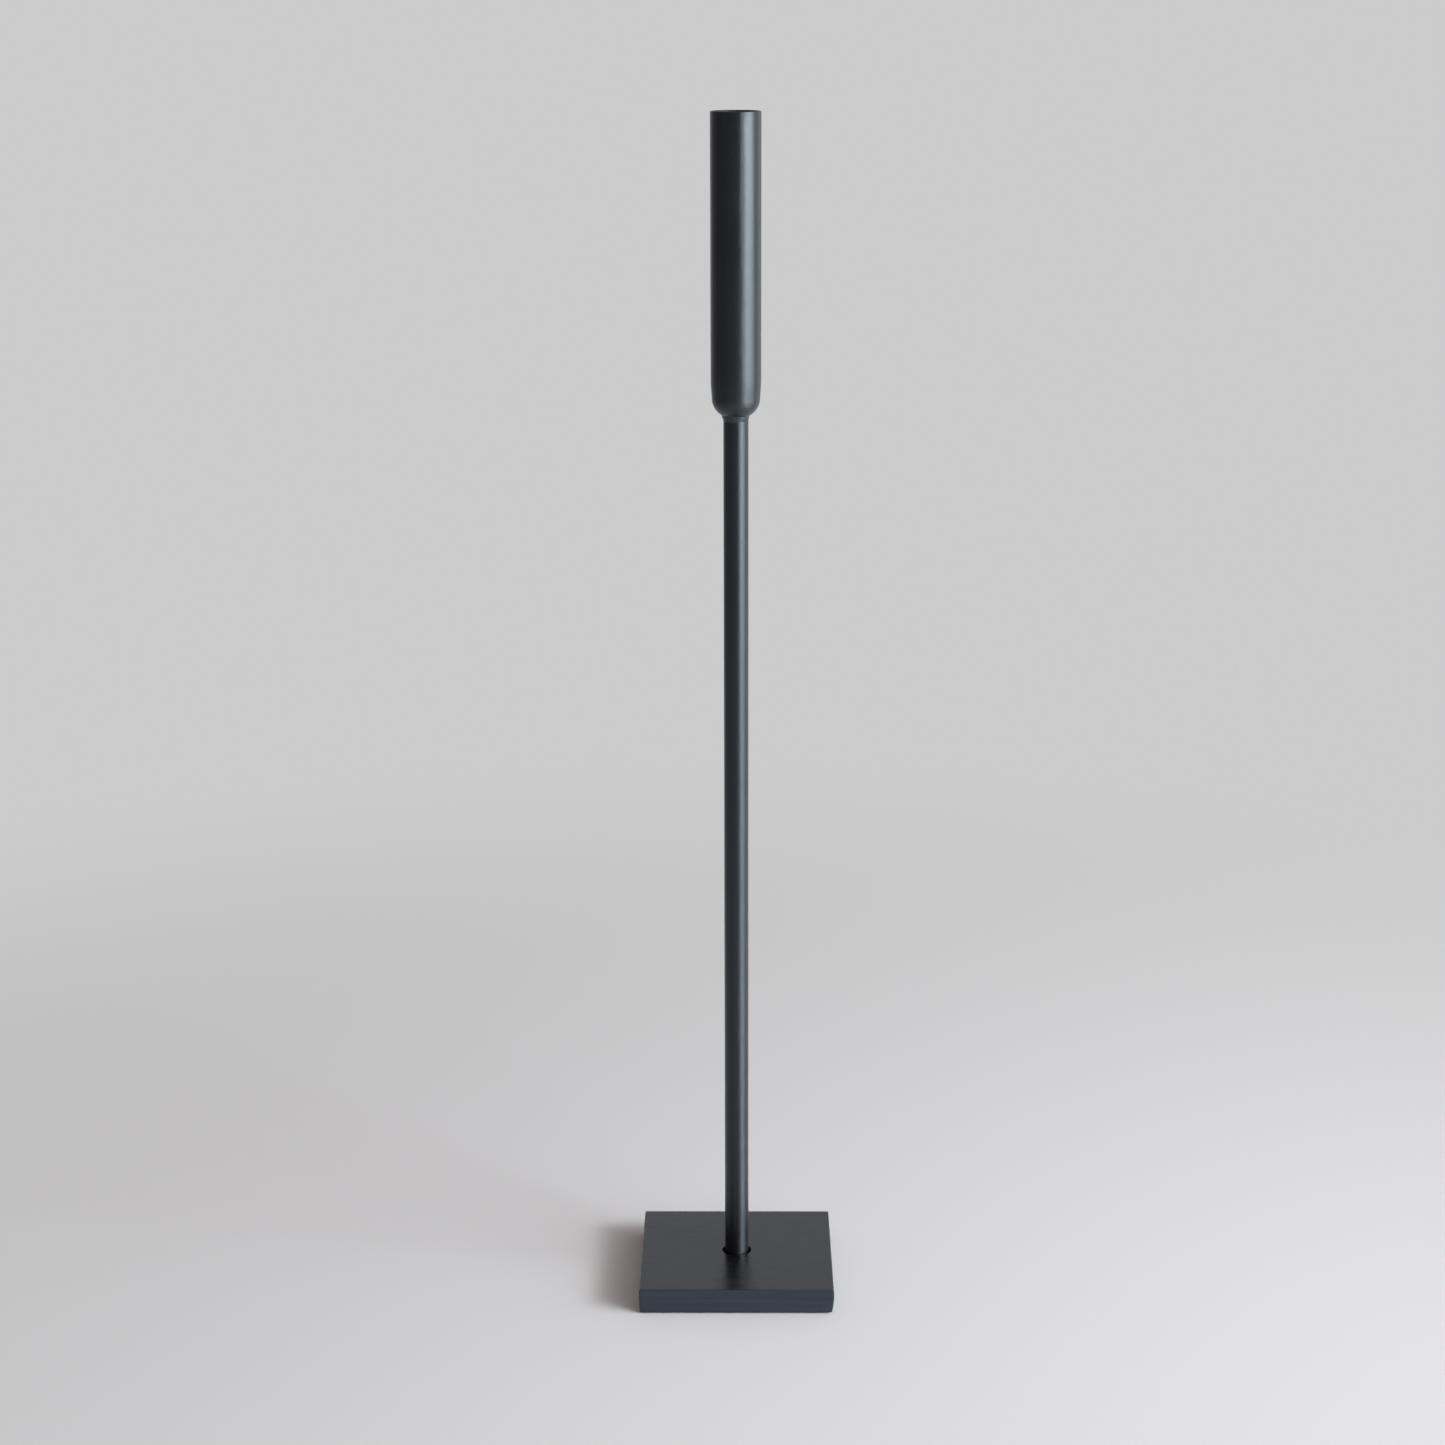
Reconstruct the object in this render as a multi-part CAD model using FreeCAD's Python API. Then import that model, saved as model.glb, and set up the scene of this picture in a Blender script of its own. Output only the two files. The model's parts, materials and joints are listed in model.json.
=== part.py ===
import FreeCAD, Part
import math
import os

# A tall stand for one taper candle, made of steel: a square plate, an upright round bar screwed
# to it from beneath, and a long tubular cup welded to the top of the bar.
# Millimetres. +Z is up, z = 0 is the surface the stand rests on, and the Z axis runs up the bar.

# Base plate, cut from rolled flat bar. The two rolled edges face -X and +X, the cut ends -Y and +Y.
PLATE_WIDTH = 102.4  # over the fullest part of the rolled edges
PLATE_DEPTH = 101.6  # between the cut ends
PLATE_THICKNESS = 12.7
EDGE_FULLEST_DROP = 3.0  # from the top face down to the fullest part of a rolled edge
EDGE_TOP_FALLBACK = 0.4  # how far the top arris lies inside the fullest part
EDGE_BOTTOM_FALLBACK = 0.9  # how far the bottom arris lies inside the fullest part
ARRIS_RADIUS = 0.35

# Felt pads under the plate
PAD_DIAMETER = 14.0
PAD_THICKNESS = 0.8
PAD_INSET = 12.8  # from the plate's sides to a pad's centre

# Counterbore in the plate's top that takes the foot of the stem
SEAT_WEB = 7.7  # plate left under the stem
RECESS_GAP = 1.4  # open ring all round the stem
RECESS_BREAK = 0.3

# Stem
STEM_DIAMETER = 12.7
STEM_LENGTH = 459.6
STEM_CHAMFER = 0.5

# Socket for the candle: the top of the cup, bored out a little wider than the tube below it
CANDLE_DIAMETER = 22.2  # 7/8 in taper
CANDLE_CLEARANCE = 0.35  # all round
SOCKET_DEPTH = 32.0
SOCKET_WALL = 1.25
SOCKET_RELIEF = 0.25  # from the tube's own bore out to the socket's

# Candle cup, a tube whose lower end is spun in to a rounded nose
CUP_LENGTH = 150.0  # from the hole in the nose to the rim
CUP_NOSE_RADIUS = 10.0
CUP_NECK_IN = 0.5  # how much the radius shrinks just above the nose
CUP_NECK_HEIGHT = 7.2  # height over which it shrinks
CUP_HOLE_CLEARANCE = 0.05  # round the stem
RIM_OUTER_BREAK = 0.3
RIM_INNER_BREAK = 0.2
STEM_ENTRY = 2.4  # how far the stem reaches in through the nose

# Drawn cap pressed into the tube's bore, which the candle stands on
STOP_WALL = 1.2
STOP_SKIRT = 6.0
STOP_CORNER_RADIUS = 1.6

# Fillet weld between the nose and the stem
WELD_LEG_OUT = 1.2
WELD_LEG_DOWN = 3.0
WELD_CROWN = 0.2  # how far the bead's face swells past a straight line

# Flat-head socket screw, 5/16 in - 18, up through the plate into the stem
SCREW_DIAMETER = 7.94
SCREW_PITCH = 1.411
SCREW_LENGTH = 22.2  # over the head
HEAD_DIAMETER = 15.0
HEAD_ANGLE = 82.0
HEAD_LAND = 0.5  # cylindrical rim of the head
HEAD_SINK = 0.3  # from the plate's underside up to the head
HEX_ACROSS_FLATS = 4.76
HEX_DEPTH = 2.9
SHANK_CLEARANCE = 0.3  # round the screw, in the plate
THREAD_CLEARANCE = 0.05  # between the screw's thread and the stem's
THREAD_ANGLE = 60.0
TAP_MOUTH = 0.4  # how far the tapped hole's countersink is wider than the thread
TAP_RUNOUT = 3.0  # thread beyond the screw's tip
SCREW_TIP_CHAMFER = 0.6
DRILL_ANGLE = 118.0

CUT_OVERRUN = 1.0  # how far a cutting body reaches past the face it opens

AXIS = FreeCAD.Vector(0, 0, 1)
ORIGIN = FreeCAD.Vector(0, 0, 0)

# Levels on the Z axis
plate_bottom = PAD_THICKNESS
plate_top = plate_bottom + PLATE_THICKNESS
seat = plate_bottom + SEAT_WEB
stem_top = seat + STEM_LENGTH
cup_bottom = stem_top - STEM_ENTRY
rim = cup_bottom + CUP_LENGTH
stop_top = rim - SOCKET_DEPTH

# Radii that more than one piece needs
stem_r = STEM_DIAMETER / 2
socket_r = CANDLE_DIAMETER / 2 + CANDLE_CLEARANCE
cup_r = socket_r + SOCKET_WALL
bore_r = socket_r - SOCKET_RELIEF
tube_wall = cup_r - bore_r
hole_r = stem_r + CUP_HOLE_CLEARANCE
head_r = HEAD_DIAMETER / 2
thread_r = SCREW_DIAMETER / 2

# The nose is an arc about a circle of centres at the shoulder's height
shoulder_r = cup_r - CUP_NECK_IN
nose_centre_r = shoulder_r - CUP_NOSE_RADIUS


def nose_depth(radius, arc_radius):
    """How far below the shoulder an arc of the nose lies at a given radius."""
    return math.sqrt(arc_radius**2 - (radius - nose_centre_r) ** 2)


shoulder = cup_bottom + nose_depth(hole_r, CUP_NOSE_RADIUS)

# The thread is drawn as rings: straight flanks, a crest an eighth of the pitch wide and a root
# a quarter of it wide. Screw and stem share the rings' levels.
half_thread_angle = math.radians(THREAD_ANGLE / 2)
flank = SCREW_PITCH * 5 / 16
thread_depth = flank / math.tan(half_thread_angle)
root_r = thread_r - thread_depth
thread_start = seat + thread_depth + TAP_MOUTH
head_bottom = plate_bottom + HEAD_SINK
screw_tip = head_bottom + SCREW_LENGTH


def point(radius, level):
    return FreeCAD.Vector(radius, 0, level)


def lines(points):
    """Straight edges through a list of (radius, level) points."""
    return [Part.LineSegment(point(*a), point(*b)).toShape() for a, b in zip(points, points[1:])]


def arc(start, middle, end):
    return Part.Arc(point(*start), point(*middle), point(*end)).toShape()


def nose_arc(start_r, end_r, arc_radius):
    """Edge along the nose, between two radii."""
    radii = (start_r, (start_r + end_r) / 2, end_r)
    return arc(*[(radius, shoulder - nose_depth(radius, arc_radius)) for radius in radii])


def turned(edges):
    """Solid of revolution about the Z axis from a closed outline of edges."""
    face = Part.Face(Part.Wire(edges))
    solid = face.revolve(ORIGIN, AXIS, 360)
    return Part.Solid(solid.Shells[0])


def turned_polygon(points):
    return turned(lines(points + points[:1]))


def base_plate():
    half_width = PLATE_WIDTH / 2
    fullest = plate_top - EDGE_FULLEST_DROP
    top_corner = half_width - EDGE_TOP_FALLBACK
    bottom_corner = half_width - EDGE_BOTTOM_FALLBACK

    def rolled_edge(side):
        """Two arcs, upright where they meet at the fullest part."""

        def arc_to(fallback, level):
            drop = level - fullest
            radius = (fallback**2 + drop**2) / (2 * fallback)
            sweep = math.asin(abs(drop) / radius) / 2
            middle_x = half_width - radius * (1 - math.cos(sweep))
            middle_z = fullest + math.copysign(radius * math.sin(sweep), drop)
            ends = [(half_width, fullest), (middle_x, middle_z), (half_width - fallback, level)]
            return arc(*[(side * x, z) for x, z in ends])

        return [arc_to(EDGE_TOP_FALLBACK, plate_top), arc_to(EDGE_BOTTOM_FALLBACK, plate_bottom)]

    flats = lines([(-top_corner, plate_top), (top_corner, plate_top)])
    flats += lines([(-bottom_corner, plate_bottom), (bottom_corner, plate_bottom)])
    outline = Part.Wire(Part.__sortEdges__(flats + rolled_edge(-1) + rolled_edge(1)))
    bar = Part.Face(outline).extrude(FreeCAD.Vector(0, PLATE_DEPTH, 0))
    bar.translate(FreeCAD.Vector(0, -PLATE_DEPTH / 2, 0))
    arrises = [edge for edge in bar.Edges if not runs_along_fullest(edge, fullest)]
    bar = bar.makeFillet(ARRIS_RADIUS, arrises)
    return bar.cut(stem_recess()).cut(screw_hole())


def runs_along_fullest(edge, fullest):
    """True for the seam between a rolled edge's two arcs, which isn't an arris."""
    return all(abs(vertex.Point.z - fullest) < 1e-6 for vertex in edge.Vertexes)


def stem_recess():
    recess_r = stem_r + RECESS_GAP
    over = plate_top + CUT_OVERRUN
    return turned_polygon(
        [
            (0, seat),
            (recess_r, seat),
            (recess_r, plate_top - RECESS_BREAK),
            (recess_r + RECESS_BREAK, plate_top),
            (recess_r + RECESS_BREAK, over),
            (0, over),
        ]
    )


def screw_hole():
    """Countersink that the screw's head fits, and the clearance hole above it."""
    slope = math.tan(math.radians(HEAD_ANGLE / 2))
    mouth_r = head_r + (HEAD_SINK + HEAD_LAND) * slope
    clear_r = thread_r + SHANK_CLEARANCE
    under = plate_bottom - CUT_OVERRUN
    over = seat + CUT_OVERRUN
    return turned_polygon(
        [
            (0, under),
            (mouth_r, under),
            (mouth_r, plate_bottom),
            (clear_r, plate_bottom + (mouth_r - clear_r) / slope),
            (clear_r, over),
            (0, over),
        ]
    )


def drill_depth(radius):
    """Height of the cone that a drill leaves at the end of a hole."""
    return radius / math.tan(math.radians(DRILL_ANGLE / 2))


def thread_rings(end, extra_r):
    """Outline of the rings from thread_start up to as many whole turns as end allows."""
    turns = int((end - thread_start) / SCREW_PITCH)
    crest = thread_r + extra_r
    root = root_r + extra_r
    half_flat = SCREW_PITCH / 8
    outline = []
    for turn in range(turns):
        level = thread_start + turn * SCREW_PITCH
        outline.append((root, level + half_flat))
        outline.append((crest, level + half_flat + flank))
        outline.append((crest, level + 2 * half_flat + flank))
        outline.append((root, level + 2 * half_flat + 2 * flank))
    return outline


def stem_rod():
    foot_r = stem_r - STEM_CHAMFER
    bar = turned_polygon(
        [
            (0, seat),
            (foot_r, seat),
            (stem_r, seat + STEM_CHAMFER),
            (stem_r, stem_top - STEM_CHAMFER),
            (foot_r, stem_top),
            (0, stem_top),
        ]
    )
    mouth_r = thread_r + THREAD_CLEARANCE + TAP_MOUTH
    bore = root_r + THREAD_CLEARANCE
    hole_end = screw_tip + TAP_RUNOUT
    under = seat - CUT_OVERRUN
    outline = [(0, under), (mouth_r, under), (mouth_r, seat), (bore, thread_start)]
    outline += thread_rings(hole_end, THREAD_CLEARANCE)
    outline += [(bore, hole_end), (0, hole_end + drill_depth(bore))]
    return bar.cut(turned_polygon(outline))


def candle_cup():
    neck_top = shoulder + CUP_NECK_HEIGHT
    inner_arc = CUP_NOSE_RADIUS - tube_wall
    inner_shoulder_r = shoulder_r - tube_wall
    outer_start = (hole_r, cup_bottom)
    inner_end = (hole_r, shoulder - nose_depth(hole_r, inner_arc))
    edges = [nose_arc(hole_r, shoulder_r, CUP_NOSE_RADIUS)]
    edges += lines(
        [
            (shoulder_r, shoulder),
            (cup_r, neck_top),
            (cup_r, rim - RIM_OUTER_BREAK),
            (cup_r - RIM_OUTER_BREAK, rim),
            (socket_r + RIM_INNER_BREAK, rim),
            (socket_r, rim - RIM_INNER_BREAK),
            (socket_r, stop_top),
            (bore_r, stop_top),
            (bore_r, neck_top),
            (inner_shoulder_r, shoulder),
        ]
    )
    edges.append(nose_arc(inner_shoulder_r, hole_r, inner_arc))
    edges += lines([inner_end, outer_start])
    return turned(edges)


def candle_stop():
    """Shallow cap, closed side up, held by its skirt against the cup's bore."""
    corner = STOP_CORNER_RADIUS
    inner_corner = corner - STOP_WALL
    inner_r = bore_r - STOP_WALL
    skirt_end = stop_top - STOP_SKIRT
    under = stop_top - STOP_WALL
    diagonal = 1 - math.sqrt(0.5)
    edges = lines([(0, under), (0, stop_top), (bore_r - corner, stop_top)])
    bend = (bore_r - corner * diagonal, stop_top - corner * diagonal)
    edges.append(arc((bore_r - corner, stop_top), bend, (bore_r, stop_top - corner)))
    edges += lines(
        [
            (bore_r, stop_top - corner),
            (bore_r, skirt_end),
            (inner_r, skirt_end),
            (inner_r, under - inner_corner),
        ]
    )
    bend = (inner_r - inner_corner * diagonal, under - inner_corner * diagonal)
    edges.append(arc((inner_r, under - inner_corner), bend, (inner_r - inner_corner, under)))
    edges += lines([(inner_r - inner_corner, under), (0, under)])
    return turned(edges)


def cup_weld():
    """Bead laid on the nose and the stem, whose upper face is the nose itself."""
    outer_r = stem_r + WELD_LEG_OUT
    outer = (outer_r, shoulder - nose_depth(outer_r, CUP_NOSE_RADIUS))
    toe = (stem_r, cup_bottom - WELD_LEG_DOWN)
    run = math.hypot(outer[0] - toe[0], outer[1] - toe[1])
    outward = ((outer[1] - toe[1]) / run, -(outer[0] - toe[0]) / run)
    middle = [(outer[i] + toe[i]) / 2 + WELD_CROWN * outward[i] for i in range(2)]
    edges = [arc(toe, middle, outer), nose_arc(outer_r, hole_r, CUP_NOSE_RADIUS)]
    edges += lines([(hole_r, cup_bottom), (stem_r, cup_bottom), toe])
    return turned(edges)


def stem_screw():
    slope = math.tan(math.radians(HEAD_ANGLE / 2))
    cone_start = head_bottom + HEAD_LAND
    outline = [(0, head_bottom), (head_r, head_bottom), (head_r, cone_start)]
    outline += [(root_r, cone_start + (head_r - root_r) / slope)]
    outline += thread_rings(screw_tip - SCREW_TIP_CHAMFER, 0)
    outline += [(root_r, screw_tip - SCREW_TIP_CHAMFER), (root_r - SCREW_TIP_CHAMFER, screw_tip)]
    outline += [(0, screw_tip)]
    return turned_polygon(outline).cut(hex_socket())


def hex_socket():
    """Broached hexagon with a drill point at its end."""
    corner_r = HEX_ACROSS_FLATS / math.sqrt(3)
    under = head_bottom - CUT_OVERRUN
    corners = []
    for step in range(7):
        angle = math.radians(60 * step)
        corners.append(FreeCAD.Vector(corner_r * math.cos(angle), corner_r * math.sin(angle), under))
    prism = Part.Face(Part.makePolygon(corners)).extrude(AXIS * (HEX_DEPTH + CUT_OVERRUN))
    flat_r = HEX_ACROSS_FLATS / 2
    end = head_bottom + HEX_DEPTH
    point_end = end + drill_depth(flat_r)
    drill_point = turned_polygon([(0, under), (flat_r, under), (flat_r, end), (0, point_end)])
    return prism.fuse(drill_point)


def foot_pad(side_x, side_y):
    pad = Part.makeCylinder(PAD_DIAMETER / 2, PAD_THICKNESS)
    x = side_x * (PLATE_WIDTH / 2 - PAD_INSET)
    y = side_y * (PLATE_DEPTH / 2 - PAD_INSET)
    pad.translate(FreeCAD.Vector(x, y, 0))
    return pad


pieces = {
    "base_plate": base_plate(),
    "stem_rod": stem_rod(),
    "candle_cup": candle_cup(),
    "candle_stop": candle_stop(),
    "cup_weld": cup_weld(),
    "stem_screw": stem_screw(),
}
for end_name, side_y in (("front", -1), ("rear", 1)):
    for side_name, side_x in (("left", -1), ("right", 1)):
        pieces["foot_pad_" + end_name + "_" + side_name] = foot_pad(side_x, side_y)

os.makedirs("parts", exist_ok=True)
for name, shape in pieces.items():
    shape.exportStep("parts/" + name + ".step")
    print(name, "valid" if shape.isValid() else "NOT VALID", round(shape.Volume, 1), "mm3")
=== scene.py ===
import json
import math

import bpy
from mathutils import Matrix, Vector, noise

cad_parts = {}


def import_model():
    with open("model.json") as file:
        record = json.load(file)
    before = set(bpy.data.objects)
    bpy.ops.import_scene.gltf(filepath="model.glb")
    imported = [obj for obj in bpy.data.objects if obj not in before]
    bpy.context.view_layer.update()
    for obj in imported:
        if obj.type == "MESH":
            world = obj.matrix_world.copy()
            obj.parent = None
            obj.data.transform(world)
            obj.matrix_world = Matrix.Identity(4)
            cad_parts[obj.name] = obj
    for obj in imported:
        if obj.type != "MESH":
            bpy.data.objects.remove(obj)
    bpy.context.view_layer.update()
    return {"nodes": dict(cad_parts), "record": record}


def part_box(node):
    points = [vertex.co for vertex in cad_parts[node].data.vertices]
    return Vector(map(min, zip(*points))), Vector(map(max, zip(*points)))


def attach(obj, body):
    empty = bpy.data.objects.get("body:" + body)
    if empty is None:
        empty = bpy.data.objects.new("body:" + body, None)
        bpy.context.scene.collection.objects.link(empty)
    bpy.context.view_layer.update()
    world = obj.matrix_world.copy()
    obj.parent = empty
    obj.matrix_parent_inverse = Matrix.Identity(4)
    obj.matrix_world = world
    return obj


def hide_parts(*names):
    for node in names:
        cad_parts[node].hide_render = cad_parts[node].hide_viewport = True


# Looks for a tall black steel stand for one taper candle. Metres, in the CAD part's own frame:
# +Z runs up the stem, z = 0 is the surface it stands on, -Y is the front.

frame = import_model()

MM = 0.001

# Nearer than this is the same place
TINY = 1e-7


# ---------------------------------------------------------------- sizes from the frame

plate_low, plate_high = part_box("base_plate")
stem_low, stem_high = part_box("stem_rod")
cup_low, cup_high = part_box("candle_cup")
stop_low, stop_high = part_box("candle_stop")
weld_low, weld_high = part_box("cup_weld")
screw_low, screw_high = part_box("stem_screw")

stem_r = stem_high.x
cup_r = cup_high.x
seat = stem_low.z
socket = next(mount for mount in frame["record"]["mounts"] if mount["name"] == "candle_socket")
socket_r = socket["dims"]["r_mm"] * MM
tube_bore_r = stop_high.x

# Sizes of the part's own details that no box shows
NOSE_RADIUS = 10 * MM
NECK_IN = 0.5 * MM
NECK_HEIGHT = 7.2 * MM
RIM_OUTER_ROUND = 0.55 * MM
RIM_INNER_BREAK = 0.2 * MM
RECESS_GAP = 1.4 * MM
STOP_WALL = 1.2 * MM
STOP_CORNER = 1.6 * MM
SCREW_HOLE_R = 4.27 * MM
COUNTERSINK_R = 8.195 * MM
COUNTERSINK_HALF_ANGLE = math.radians(41)
HEAD_LAND = 0.5 * MM
HEX_ACROSS_FLATS = 4.76 * MM
HEX_DEPTH = 2.9 * MM
HEX_LEAD = 0.15 * MM
DRILL_HALF_ANGLE = math.radians(59)
SCREW_TIP_CHAMFER = 0.6 * MM
TAP_ROOT_R = 3.256 * MM
TAP_CREST_R = 4.02 * MM
TAP_MOUTH_R = 4.42 * MM
TAP_DEPTH = 17.8 * MM
TAP_END_CONE = 1.9 * MM
THREAD_PITCH = 1.411 * MM
THREAD_CLEARANCE = 0.05 * MM
THREAD_START = seat + TAP_MOUTH_R - TAP_ROOT_R


# ---------------------------------------------------------------- outlines

def rounded(points, steps=5):
    """Outline through (radius, height, corner radius) points, its corners turned into arcs."""
    outline = []
    last = len(points) - 1
    for index, (r, z, corner) in enumerate(points):
        here = Vector((r, z))
        if corner == 0 or index in (0, last):
            outline.append(here)
            continue
        back = (Vector(points[index - 1][:2]) - here).normalized()
        ahead = (Vector(points[index + 1][:2]) - here).normalized()
        half_turn = back.angle(ahead) / 2
        reach = corner / math.tan(half_turn)
        centre = here + (back + ahead).normalized() * corner / math.sin(half_turn)
        first = here + back * reach - centre
        final = here + ahead * reach - centre
        for step in range(steps + 1):
            share = step / steps
            outline.append(centre + first.slerp(final, share).normalized() * corner)
    return outline


def divided(outline, longest):
    """The same outline with no run longer than a given length."""
    points = [outline[0]]
    for start, end in zip(outline, outline[1:]):
        pieces = max(1, math.ceil((end - start).length / longest))
        points += [start.lerp(end, piece / pieces) for piece in range(1, pieces + 1)]
    return points


def thread_rings(root, crest, end):
    """Outline of the thread, one ring a turn, upwards from its start for as many turns as fit."""
    flat = THREAD_PITCH / 8
    flank = THREAD_PITCH * 5 / 16
    outline = []
    for turn in range(int((end - THREAD_START) / THREAD_PITCH)):
        level = THREAD_START + turn * THREAD_PITCH
        outline.append((root, level + flat, 0))
        outline.append((crest, level + flat + flank, 0))
        outline.append((crest, level + 2 * flat + flank, 0))
        outline.append((root, level + 2 * flat + 2 * flank, 0))
    return outline


# ---------------------------------------------------------------- meshes

def make_object(name, vertices, faces, sharp):
    """A smooth object, with hard edges where faces meet at more than sharp degrees."""
    mesh = bpy.data.meshes.new(name)
    mesh.from_pydata(vertices, [], faces)
    mesh.validate()
    mesh.shade_smooth()
    mesh.set_sharp_from_angle(angle=math.radians(sharp))
    made = bpy.data.objects.new(name, mesh)
    bpy.context.scene.collection.objects.link(made)
    return made


def grid_faces(rows, columns, wrap_rows):
    """Quads between rows of points, each row a closed ring; wrapped, the last row meets the first."""
    faces = []
    for row in range(rows if wrap_rows else rows - 1):
        above = (row + 1) % rows
        for column in range(columns):
            beside = (column + 1) % columns
            corners = [row * columns + column, row * columns + beside]
            faces.append(tuple(corners + [above * columns + beside, above * columns + column]))
    return faces


def turned(name, outline, shape, columns, sharp=45):
    """A turned solid whose outline starts and ends on the axis, or is closed on itself.

    shape(angle, radius, height) may move a point: it returns its new radius and height."""
    on_axis = outline[0].x < TINY and outline[-1].x < TINY
    ring_points = outline[1:-1] if on_axis else outline
    vertices = []
    for point in ring_points:
        for column in range(columns):
            angle = 2 * math.pi * column / columns
            radius, height = shape(angle, point.x, point.y)
            vertices.append((radius * math.cos(angle), radius * math.sin(angle), height))
    faces = grid_faces(len(ring_points), columns, wrap_rows=not on_axis)
    if on_axis:
        first_pole = len(vertices)
        last_ring = (len(ring_points) - 1) * columns
        vertices += [(0, 0, outline[0].y), (0, 0, outline[-1].y)]
        for column in range(columns):
            beside = (column + 1) % columns
            faces.append((first_pole, beside, column))
            faces.append((first_pole + 1, last_ring + column, last_ring + beside))
    return make_object(name, vertices, faces, sharp)


def roughness_at(spot):
    """Smooth noise from 0 to 1."""
    return 0.5 + 0.5 * noise.noise(spot)


def swell(angle, radius, height, size, length, stretch):
    """Unevenness of a round surface: up to size in and out, its waves stretched along the height."""
    around = Vector((radius * math.cos(angle), radius * math.sin(angle), height / stretch))
    return size * noise.noise(around / length)


# ---------------------------------------------------------------- materials

# Most of a noise lies between these two values
NOISE_LOW = 0.3
NOISE_HIGH = 0.7

# Grain: how many times longer marks are along x, y and z
EVEN = (1, 1, 1)
UPRIGHT = (1, 1, 2.5)
ACROSS = (10, 1, 1)
SAW_MARKS = (30, 1, 1)


def principled(material):
    return material.node_tree.nodes["Principled BSDF"]


class Nodes:
    """Short way to build a material's nodes."""

    def __init__(self, name):
        self.material = bpy.data.materials.new(name)
        self.material.use_nodes = True
        self.tree = self.material.node_tree
        self.shader = principled(self.material)
        self.place = self.add("ShaderNodeTexCoord").outputs["Object"]

    def add(self, kind, **settings):
        node = self.tree.nodes.new(kind)
        for key, value in settings.items():
            setattr(node, key, value)
        return node

    def link(self, output, to):
        self.tree.links.new(output, to)

    def noise(self, per_metre, detail, roughness=0.5, stretch=EVEN):
        """Noise from 0 to 1, about per_metre features a metre, longer along a stretched axis."""
        mapping = self.add("ShaderNodeMapping")
        mapping.inputs["Scale"].default_value = [1 / times for times in stretch]
        self.link(self.place, mapping.inputs["Vector"])
        texture = self.add("ShaderNodeTexNoise")
        texture.inputs["Scale"].default_value = per_metre
        texture.inputs["Detail"].default_value = detail
        texture.inputs["Roughness"].default_value = roughness
        self.link(mapping.outputs["Vector"], texture.inputs["Vector"])
        return texture.outputs["Fac"]

    def spread(self, value, low, high):
        """A noise spread from low to high."""
        scale = self.add("ShaderNodeMapRange")
        scale.inputs["From Min"].default_value = NOISE_LOW
        scale.inputs["From Max"].default_value = NOISE_HIGH
        scale.inputs["To Min"].default_value = low
        scale.inputs["To Max"].default_value = high
        self.link(value, scale.inputs["Value"])
        return scale.outputs["Result"]

    def sum(self, first, second):
        add = self.add("ShaderNodeMath", operation="ADD")
        self.link(first, add.inputs[0])
        self.link(second, add.inputs[1])
        return add.outputs["Value"]

    def ramp(self, value, dark, light):
        """A colour from dark to light by a value from 0 to 1."""
        mix = self.add("ShaderNodeMix", data_type="RGBA")
        mix.inputs["A"].default_value = (*dark, 1)
        mix.inputs["B"].default_value = (*light, 1)
        self.link(value, mix.inputs["Factor"])
        return mix.outputs["Result"]

    def bump(self, height, distance):
        bump = self.add("ShaderNodeBump")
        bump.inputs["Distance"].default_value = distance
        self.link(height, bump.inputs["Height"])
        self.link(bump.outputs["Normal"], self.shader.inputs["Normal"])

    def set(self, **numbers):
        for key, value in numbers.items():
            self.shader.inputs[key.replace("_", " ")].default_value = value


STREAKS_PER_METRE = 2200
STREAK_STRETCH = 3
STREAK_ROUGHNESS = (-0.04, 0.06)
POLISH_STRENGTH = 0.72
QUARTER_TURN = 0.25


def lacquer(
    name, grain, tones, roughness, relief, patches=60, dimples=700, fine=0.3, patchiness=0.02
):
    """Thin black lacquer over steel: cloudy patches, dimples, and streaks drawn out along the grain.

    patches and dimples are counts a metre, fine is how high the streaks are beside the dimples,
    and patchiness is how much rougher or smoother than the rest a patch is."""
    n = Nodes(name)
    cloud = n.noise(patches, detail=4, stretch=grain)
    dents = n.noise(dimples, detail=4, roughness=0.6, stretch=grain)
    drawn_out = [STREAK_STRETCH * times for times in grain]
    streaks = n.noise(STREAKS_PER_METRE, detail=2, stretch=drawn_out)
    n.link(n.ramp(n.spread(cloud, 0, 1), *tones), n.shader.inputs["Base Color"])
    cloudy = n.spread(cloud, roughness - patchiness, roughness + patchiness)
    n.link(n.sum(cloudy, n.spread(streaks, *STREAK_ROUGHNESS)), n.shader.inputs["Roughness"])
    n.bump(n.sum(n.spread(dents, 0, 1), n.spread(streaks, 0, fine)), relief)
    return n.material


def polished_round(material):
    """Marks of polishing that run round the stem and cup: they draw highlights out up and down."""
    tree = material.node_tree
    shader = principled(material)
    shader.inputs["Anisotropic"].default_value = POLISH_STRENGTH
    shader.inputs["Anisotropic Rotation"].default_value = QUARTER_TURN
    around = tree.nodes.new("ShaderNodeTangent")
    around.direction_type = "RADIAL"
    around.axis = "Z"
    tree.links.new(around.outputs["Tangent"], shader.inputs["Tangent"])


def black_oxide(name):
    n = Nodes(name)
    n.set(Metallic=1.0)
    cloud = n.noise(per_metre=300, detail=3)
    n.link(n.ramp(cloud, *OXIDE_TONES), n.shader.inputs["Base Color"])
    n.link(n.spread(cloud, *OXIDE_ROUGHNESS), n.shader.inputs["Roughness"])
    n.bump(n.noise(per_metre=4000, detail=2), OXIDE_RELIEF)
    return n.material


def felt(name):
    n = Nodes(name)
    n.set(Roughness=0.95, Sheen_Weight=0.35, Sheen_Roughness=0.6)
    fibres = n.noise(per_metre=1800, detail=5, roughness=0.7)
    n.link(n.ramp(fibres, *FELT_TONES), n.shader.inputs["Base Color"])
    n.bump(fibres, FELT_RELIEF)
    return n.material


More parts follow.
